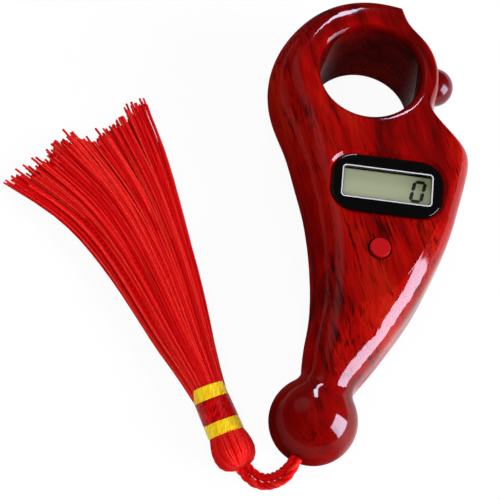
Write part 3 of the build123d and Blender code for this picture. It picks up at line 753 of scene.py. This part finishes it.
def makeRosewood(look):
    material, tree = newMaterial("rosewoodLacquer")
    place = addNode(tree, "ShaderNodeTexCoord").outputs["Object"]
    colour = paintedOpeningShade(tree, place, grainColour(tree, place, look), look)
    inside, outside = look["bore"]
    bore = addNode(tree, "ShaderNodeMapRange",
                   {"Value": fromAxis(tree, place, (0, 0, 0)), "From Min": inside * mm,
                    "From Max": outside * mm}).outputs["Result"]
    # painted shade inside the finger hole
    paintedBoreShade = addNode(tree, "ShaderNodeMix", {"Factor": bore, 6: fromHex(look["borePaintedShade"]), 7: grey(1.0)},
                   data_type="RGBA")
    colour = addNode(tree, "ShaderNodeMix", {"Factor": 1.0, 6: colour, 7: paintedBoreShade.outputs[2]},
                     data_type="RGBA", blend_type="MULTIPLY")
    along = addNode(tree, "ShaderNodeSeparateXYZ", {"Vector": place})
    ballStart, neckStart = look["ball"]
    onBall = addNode(tree, "ShaderNodeMapRange",
                     {"Value": along.outputs["Y"], "From Min": ballStart * mm, "From Max": neckStart * mm,
                      "To Min": look["ballShare"], "To Max": 0.0})
    colour = addNode(tree, "ShaderNodeMix", {"Factor": onBall.outputs["Result"], 6: colour.outputs[2],
                                             7: fromHex(look["ballColour"])}, data_type="RGBA")
    gloss = lacquerGloss(tree, bore, look)
    return endMaterial(material, {"Base Color": colour.outputs[2], "Coat Weight": gloss,
                                  **look["finish"]})


# Moulded ABS in one colour: faint mottling and a fine moulding texture, in mm
plasticLook = {"mottle": 4.0, "texture": 0.5, "depth": 0.04, "index": 1.5}


def makePlastic(name, colourHex, shadeHex, roughness, bump=0.08, gloss=0.5):
    look = plasticLook
    material, tree = newMaterial(name)
    place = addNode(tree, "ShaderNodeTexCoord").outputs["Object"]
    mottle = addNode(tree, "ShaderNodeTexNoise",
                     {"Vector": place, "Scale": perMm / look["mottle"], "Detail": 3.0})
    colour = addNode(tree, "ShaderNodeMix", {"Factor": mottle.outputs["Fac"], 6: fromHex(colourHex),
                                             7: fromHex(shadeHex)}, data_type="RGBA")
    fine = addNode(tree, "ShaderNodeTexNoise",
                   {"Vector": place, "Scale": perMm / look["texture"], "Detail": 2.0})
    relief = addNode(tree, "ShaderNodeBump", {"Strength": bump, "Distance": look["depth"] * mm,
                                              "Height": fine.outputs["Fac"]})
    return endMaterial(material, {"Base Color": colour.outputs[2], "Normal": relief.outputs["Normal"],
                                  "Roughness": roughness, "IOR": look["index"],
                                  "Specular IOR Level": gloss})


# Rolled or plated metal: faint lengthwise brush marks in the roughness, width in mm
metalLook = {"stretch": (1.0, 0.05, 1.0), "brush": 0.3, "roughShares": (0.7, 1.4)}


def makeMetal(name, colourHex, shadeHex, roughness):
    look = metalLook
    material, tree = newMaterial(name)
    place = addNode(tree, "ShaderNodeTexCoord").outputs["Object"]
    pull = addNode(tree, "ShaderNodeMapping", {"Vector": place, "Scale": look["stretch"]})
    brush = addNode(tree, "ShaderNodeTexNoise", {"Vector": pull.outputs["Vector"],
                                                 "Scale": perMm / look["brush"], "Detail": 3.0})
    smoothest, roughest = (roughness * share for share in look["roughShares"])
    rough = addNode(tree, "ShaderNodeMapRange", {"Value": brush.outputs["Fac"], "To Min": smoothest,
                                                 "To Max": roughest})
    tone = addNode(tree, "ShaderNodeMix", {"Factor": brush.outputs["Fac"], 6: fromHex(colourHex),
                                           7: fromHex(shadeHex)}, data_type="RGBA")
    return endMaterial(material, {"Base Color": tone.outputs[2], "Roughness": rough.outputs["Result"],
                                  "Metallic": 1.0})


# Twisted rayon thread: silky, with the lay of its plies showing as slanted dashes of painted glint and
# painted shade
threadLook = {
    "starts": 7.0,                        # lays by which two threads may be out of step
    # how dark a thread is and how clear its dashes are, from thread to thread
    "tone": {"To Min": 0.5, "To Max": 0.0},
    "dashed": {"From Min": 0.55, "From Max": 0.8, "To Min": 0.06, "To Max": 1.0},
    # shade in the grooves of the lay, light on its crests, pale ends of the length
    "groove": {"From Min": -1.0, "From Max": 0.2, "To Min": 0.4, "To Max": 0.0},
    "crest": {"From Min": 0.72, "From Max": 0.9, "To Min": 0.0, "To Max": 0.9},
    "fray": {"From Min": 0.95, "From Max": 1.0, "To Min": 0.0, "To Max": 0.7},
    "frayColour": "#ff2638",
    "bump": 0.25,
    "depth": 0.08,                        # mm
    "sheenColour": "#ff0c08",
    "finish": {"Roughness": 0.42, "Specular IOR Level": 0.04, "Sheen Weight": 0.3, "Sheen Roughness": 0.4},
}


def makeThread(name, crestHex, lightHex, darkHex, lays):
    look = threadLook
    material, tree = newMaterial(name)
    uv = addNode(tree, "ShaderNodeTexCoord").outputs["UV"]
    split = addNode(tree, "ShaderNodeSeparateXYZ", {"Vector": uv})
    island = addNode(tree, "ShaderNodeNewGeometry").outputs["Random Per Island"]
    along = addNode(tree, "ShaderNodeMath", {0: split.outputs["Y"], 1: lays}, operation="MULTIPLY")
    lay = addNode(tree, "ShaderNodeMath", {0: split.outputs["X"], 1: along.outputs["Value"]},
                  operation="ADD")
    begun = addNode(tree, "ShaderNodeMath", {0: island, 1: look["starts"], 2: lay.outputs["Value"]},
                    operation="MULTIPLY_ADD")
    phase = addNode(tree, "ShaderNodeMath", {0: begun.outputs["Value"], 1: 2 * math.pi},
                    operation="MULTIPLY")
    wave = addNode(tree, "ShaderNodeMath", {0: phase.outputs["Value"]}, operation="SINE").outputs["Value"]
    tone = addNode(tree, "ShaderNodeMapRange", {"Value": island, **look["tone"]})
    groove = addNode(tree, "ShaderNodeMapRange", {"Value": wave, **look["groove"]})
    total = addNode(tree, "ShaderNodeMath", {0: tone.outputs["Result"], 1: groove.outputs["Result"]},
                    operation="ADD", use_clamp=True)
    # random tone from thread to thread, with painted shade in the grooves of the lay
    toneAndGrooveShade = addNode(tree, "ShaderNodeMix", {"Factor": total.outputs["Value"], 6: fromHex(lightHex),
                                           7: fromHex(darkHex)}, data_type="RGBA")
    # painted glints on the crests of the lay, clear on some threads only
    dashed = addNode(tree, "ShaderNodeMapRange", {"Value": island, **look["dashed"]})
    crest = addNode(tree, "ShaderNodeMapRange", {"Value": wave, **look["crest"]})
    dash = addNode(tree, "ShaderNodeMath", {0: crest.outputs["Result"], 1: dashed.outputs["Result"]},
                   operation="MULTIPLY")
    colour = addNode(tree, "ShaderNodeMix", {"Factor": dash.outputs["Value"], 6: toneAndGrooveShade.outputs[2],
                                             7: fromHex(crestHex)}, data_type="RGBA")
    fray = addNode(tree, "ShaderNodeMapRange", {"Value": split.outputs["Y"], **look["fray"]})
    colour = addNode(tree, "ShaderNodeMix", {"Factor": fray.outputs["Result"], 6: colour.outputs[2],
                                             7: fromHex(look["frayColour"])}, data_type="RGBA")
    relief = addNode(tree, "ShaderNodeBump", {"Strength": look["bump"], "Distance": look["depth"] * mm,
                                              "Height": wave})
    return endMaterial(material, {"Base Color": colour.outputs[2], "Normal": relief.outputs["Normal"],
                                  "Sheen Tint": fromHex(look["sheenColour"]), **look["finish"]})


# Wound thread seen as a satin band: short glints that run round the neck, width in mm
woundLook = {"stretch": (1.0, 0.16, 0.16), "glint": 0.22, "darkest": 0.3, "lightest": 0.62,
             "finish": {"Roughness": 0.3, "Specular IOR Level": 0.12}}


def makeWoundThread(name, lightHex, darkHex):
    look = woundLook
    material, tree = newMaterial(name)
    place = addNode(tree, "ShaderNodeTexCoord").outputs["Object"]
    turn = addNode(tree, "ShaderNodeMapping",
                   {"Vector": place, "Rotation": (0, 0, -math.radians(tasselFrame["angle"])),
                    "Scale": look["stretch"]})
    glint = addNode(tree, "ShaderNodeTexNoise", {"Vector": turn.outputs["Vector"],
                                                 "Scale": perMm / look["glint"], "Detail": 2.0})
    colour = addNode(tree, "ShaderNodeValToRGB", {"Fac": glint.outputs["Fac"]},
                     stops=((look["darkest"], darkHex), (look["lightest"], lightHex)))
    return endMaterial(material, {"Base Color": colour.outputs["Color"], **look["finish"]})


# Liquid crystal panel: grey-green reflector seen through glass, fine even grain in mm
lcdLook = {"colour": "#98a07a", "shade": "#a2aa83", "grain": 0.15, "finish": {"Roughness": 0.4}}


def makeLcd(look):
    material, tree = newMaterial("lcdReflector")
    place = addNode(tree, "ShaderNodeTexCoord").outputs["Object"]
    fine = addNode(tree, "ShaderNodeTexNoise",
                   {"Vector": place, "Scale": perMm / look["grain"], "Detail": 2.0})
    colour = addNode(tree, "ShaderNodeMix", {"Factor": fine.outputs["Fac"], 6: fromHex(look["colour"]),
                                             7: fromHex(look["shade"])}, data_type="RGBA")
    return endMaterial(material, {"Base Color": colour.outputs[2], **look["finish"]})


# Clear acrylic window: nearly all light goes through, faint haze in mm
lensLook = {"colour": "#1c1f1a", "shade": "#24281f", "haze": 3.0, "rough": {"To Min": 0.03, "To Max": 0.08},
            "finish": {"IOR": 1.49, "Alpha": 0.05}}


def makeLens(look):
    material, tree = newMaterial("clearAcrylic")
    place = addNode(tree, "ShaderNodeTexCoord").outputs["Object"]
    haze = addNode(tree, "ShaderNodeTexNoise",
                   {"Vector": place, "Scale": perMm / look["haze"], "Detail": 2.0})
    rough = addNode(tree, "ShaderNodeMapRange", {"Value": haze.outputs["Fac"], **look["rough"]})
    tint = addNode(tree, "ShaderNodeMix", {"Factor": haze.outputs["Fac"], 6: fromHex(look["colour"]),
                                           7: fromHex(look["shade"])}, data_type="RGBA")
    return endMaterial(material, {"Base Color": tint.outputs[2], "Roughness": rough.outputs["Result"],
                                  **look["finish"]})


# Green solder mask over copper tracks, spacing in mm
boardLook = {"colour": "#0f4a24", "shade": "#0c4220", "track": "#2a6b35", "spacing": 3.0,
             "trackShare": 0.06, "finish": {"Roughness": 0.35}}


def makeBoard(look):
    material, tree = newMaterial("solderMask")
    place = addNode(tree, "ShaderNodeTexCoord").outputs["Object"]
    tracks = addNode(tree, "ShaderNodeTexBrick",
                     {"Vector": place, "Scale": perMm / look["spacing"], "Mortar Size": look["trackShare"],
                      "Color1": fromHex(look["colour"]), "Color2": fromHex(look["shade"]),
                      "Mortar": fromHex(look["track"])})
    return endMaterial(material, {"Base Color": tracks.outputs["Color"], **look["finish"]})


rosewood = makeRosewood(rosewoodLook)
redCap = makePlastic("redAbsCap", "#a6090d", "#9a070b", 0.45, gloss=0.1)
domeRed = makePlastic("redAbsDome", "#5c0305", "#4e0204", 0.17, gloss=0.35)
blackGloss = makePlastic("blackGlossAbs", "#060606", "#040404", 0.09, bump=0.02)
whitePrint = makePlastic("whitePrint", "#c6c6c0", "#babab4", 0.5)
segmentInk = makePlastic("segmentInk", "#14170f", "#101309", 0.6)
holderWhite = makePlastic("whiteAbs", "#d9d8d2", "#cfcec7", 0.5)
switchBlack = makePlastic("blackNylon", "#161616", "#0f0f0f", 0.55)
resinBlack = makePlastic("blackResin", "#0d0d0d", "#121212", 0.25)
stripRubber = makePlastic("contactRubber", "#a8808a", "#8c6670", 0.7)
wireRed = makePlastic("wireCover", "#9c1410", "#8a100c", 0.45)
steelScrew = makeMetal("zincedSteel", "#bab9b4", "#a2a19b", 0.32)
cellSteel = makeMetal("nickelledSteel", "#cac8c1", "#b4b2aa", 0.22)
contactStrip = makeMetal("springStrip", "#c0b8a4", "#a49c88", 0.3)
lcdPanel = makeLcd(lcdLook)
lensClear = makeLens(lensLook)
boardGreen = makeBoard(boardLook)
skirtRed = makeThread("redRayonSkirt", "#ff6a50", "#f60304", "#8c0203", 62.0)
headRed = makeThread("redRayonHead", "#ff6048", "#ec0304", "#a40203", 24.0)
cordRed = makeThread("redRayonCord", "#ff6048", "#ec0304", "#a80304", 60.0)
yellowWound = makeWoundThread("yellowWoundRayon", "#ffe828", "#f0a600")
darkWound = makeWoundThread("darkRedWoundRayon", "#e2080a", "#600102")

# Shells and dome again as merged meshes with even normals, so that reflections run clean
smoothForms = (("front_shell", "frontShell", "case", "shell_grain", rosewood),
               ("rear_shell", "rearShell", "case", "shell_grain", rosewood),
               ("count_button", "countDome", "count_press_body", "button_red", domeRed))
evenForm = {"merge": 0.002, "sharp": 28.0, "weight": 50, "turns": 14, "factor": 0.5}   # mm, degrees


def makeSmooth(node, name, form):
    sharp = math.radians(form["sharp"])
    piece = cadNodes[node].copy()
    piece.data = cadNodes[node].data.copy()
    piece.name = name
    piece.parent = None
    bpy.context.scene.collection.objects.link(piece)
    pickOnly(piece)
    bpy.ops.mesh.customdata_custom_splitnormals_clear()
    bpy.ops.object.mode_set(mode="EDIT")
    bpy.ops.mesh.select_all(action="SELECT")
    bpy.ops.mesh.remove_doubles(threshold=form["merge"] * mm)
    bpy.ops.object.mode_set(mode="OBJECT")
    bpy.ops.object.shade_smooth_by_angle(angle=sharp)
    applyModifier(piece, "WEIGHTED_NORMAL", mode="FACE_AREA", weight=form["weight"], keep_sharp=True)
    # normals are evened everywhere but along sharp edges
    bpy.ops.object.mode_set(mode="EDIT")
    bpy.ops.mesh.select_mode(type="EDGE")
    bpy.ops.mesh.select_all(action="DESELECT")
    bpy.ops.mesh.edges_select_sharp(sharpness=sharp)
    bpy.ops.mesh.select_mode(type="VERT")
    bpy.ops.mesh.select_all(action="INVERT")
    bpy.ops.mesh.select_less()
    for turn in range(form["turns"]):
        bpy.ops.mesh.smooth_normals(factor=form["factor"])
    bpy.ops.object.mode_set(mode="OBJECT")
    return piece


def standFor(piece, material, body, node):
    setMaterial(piece, material)
    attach(piece, body)
    if node:
        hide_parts(node)


for node, name, body, slotName, material in smoothForms:
    standFor(makeSmooth(node, name, evenForm), material, body, node)

finishes = {
    "front_shell": rosewood, "rear_shell": rosewood, "battery_door": rosewood,
    "case_screws": steelScrew, "board_screws": steelScrew, "door_screw": steelScrew,
    "display_bezel": blackGloss, "display_lens": lensClear, "lcd_panel": lcdPanel,
    "lcd_holder": holderWhite, "zebra_strips": stripRubber, "circuit_board": boardGreen,
    "chip_cover": resinBlack, "reset_button": redCap, "count_button": domeRed,
    "reset_switch": switchBlack, "reset_plunger": holderWhite, "count_switch": switchBlack,
    "count_plunger": holderWhite, "switch_leads": wireRed, "cell_leads": wireRed,
    "button_cell": cellSteel, "contact_plus": contactStrip, "contact_minus": contactStrip,
}
for name, material in finishes.items():
    setMaterial(cadNodes[name], material)
print("materials made:", len(bpy.data.materials))

# Each piece's finish, its slot in the record and the solid that it stands for, if any
standIns = (
    (cordPiece, cordRed, "thread_red", "tassel_cord"),
    (knotPiece, cordRed, "thread_red", "cord_knot"),
    (headPiece, headRed, "thread_red", "tassel_head"),
    (bandPieces["lowerBand"], yellowWound, "thread_yellow", "lower_band"),
    (bandPieces["middleBand"], darkWound, "thread_dark_red", "middle_band"),
    (bandPieces["upperBand"], yellowWound, "thread_yellow", "upper_band"),
    (skirtPiece, skirtRed, "thread_red", "tassel_skirt"),
    (linePiece, whitePrint, "holder_white", None),
    (digitPiece, segmentInk, "resin_black", None),
)
for piece, material, slotName, node in standIns:
    standFor(piece, material, "case", node)

# Floor: pale and matt, seen as near white
stageForm = {"floor": -10.51, "reach": 3.0, "floorColour": "#f2f2f1", "whiteShare": 0.93}


def makeFloor(form):
    bpy.ops.mesh.primitive_plane_add(size=form["reach"], location=(0, 0, form["floor"] * mm))
    floor = bpy.context.object
    floor.name = "paleFloor"
    material, tree = newMaterial("paleFloor")
    base = addNode(tree, "ShaderNodeBsdfDiffuse", {"Color": fromHex(form["floorColour"])})
    white = addNode(tree, "ShaderNodeEmission", {"Color": grey(1.0), "Strength": 1.0})
    path = addNode(tree, "ShaderNodeLightPath").outputs
    seen = addNode(tree, "ShaderNodeMath", {0: path["Is Camera Ray"], 1: path["Is Glossy Ray"]},
                   operation="ADD")
    seen = addNode(tree, "ShaderNodeMath", {0: seen.outputs["Value"], 1: path["Is Transmission Ray"]},
                   operation="ADD", use_clamp=True)
    share = addNode(tree, "ShaderNodeMath", {0: seen.outputs["Value"], 1: form["whiteShare"]},
                    operation="MULTIPLY")
    surface = addNode(tree, "ShaderNodeMixShader", {"Fac": share.outputs["Value"], 1: base.outputs["BSDF"],
                                                    2: white.outputs["Emission"]})
    addNode(tree, "ShaderNodeOutputMaterial", {"Surface": surface.outputs["Shader"]})
    setMaterial(floor, material)


makeFloor(stageForm)

# Sky: grey near the table, dark above, and one dim soft glow high on the left
skyForm = {
    "fade": ((0.0, 0.22), (0.15, 0.1), (0.35, 0.03)),
    "glowWay": (-0.593, 0.319, 0.739),
    "glowEdge": (26, 1),                  # degrees from its middle
    "glow": 0.35,
}


def makeSky(form):
    world = bpy.data.worlds.new("studioSky")
    bpy.context.scene.world = world
    world.use_nodes = True
    tree = world.node_tree
    tree.nodes.clear()
    way = addNode(tree, "ShaderNodeTexCoord").outputs["Generated"]
    height = addNode(tree, "ShaderNodeSeparateXYZ", {"Vector": way})
    fade = addNode(tree, "ShaderNodeValToRGB", {"Fac": height.outputs["Z"]}, stops=form["fade"])
    near = addNode(tree, "ShaderNodeVectorMath", {0: way, 1: form["glowWay"]}, operation="DOT_PRODUCT")
    far, close = (math.cos(math.radians(angle)) for angle in form["glowEdge"])
    glow = addNode(tree, "ShaderNodeMapRange",
                   {"Value": near.outputs["Value"], "From Min": far, "From Max": close, "To Min": 0.0,
                    "To Max": form["glow"]}, interpolation_type="SMOOTHSTEP")
    level = addNode(tree, "ShaderNodeMath", {0: fade.outputs["Color"], 1: glow.outputs["Result"]},
                    operation="ADD")
    sky = addNode(tree, "ShaderNodeBackground", {"Color": level.outputs["Value"], "Strength": 1.0})
    addNode(tree, "ShaderNodeOutputWorld", {"Surface": sky.outputs["Background"]})


makeSky(skyForm)

# Softboxes: compass angle from +X and height angle in degrees, distance and size in mm, brightness
softboxes = {
    "rightBox": {"compass": -14, "height": 20, "distance": 900, "size": (600, 650), "glow": 16.0,
                 "colour": "#e6e4ff", "shows": True},
    "backBox": {"compass": 94, "height": 38, "distance": 900, "size": (120, 330), "glow": 21.0,
                "colour": "#e6e4ff", "shows": True},
    "fillBox": {"compass": 250, "height": 65, "distance": 900, "size": (700, 700), "glow": 3.7,
                "colour": "#ffffff", "shows": False},
}
lampTarget = Vector((0, -35, 0))


def makeSoftbox(name, box):
    compass, height = math.radians(box["compass"]), math.radians(box["height"])
    away = Vector((math.cos(compass) * math.cos(height), math.sin(compass) * math.cos(height),
                   math.sin(height)))
    bpy.ops.object.light_add(type="AREA", location=(lampTarget + away * box["distance"]) * mm)
    light = bpy.context.object
    light.name = name
    light.rotation_mode = "QUATERNION"
    light.rotation_quaternion = away.to_track_quat("Z", "Y")
    light.data.shape = "RECTANGLE"
    light.data.size, light.data.size_y = (side * mm for side in box["size"])
    light.data.energy = box["glow"] * math.pi * light.data.size * light.data.size_y
    light.data.color = fromHex(box["colour"])[:3]
    light.visible_glossy = box["shows"]


for name, box in softboxes.items():
    makeSoftbox(name, box)
bpy.context.scene.view_settings.view_transform = "Standard"
print("stage and light set")
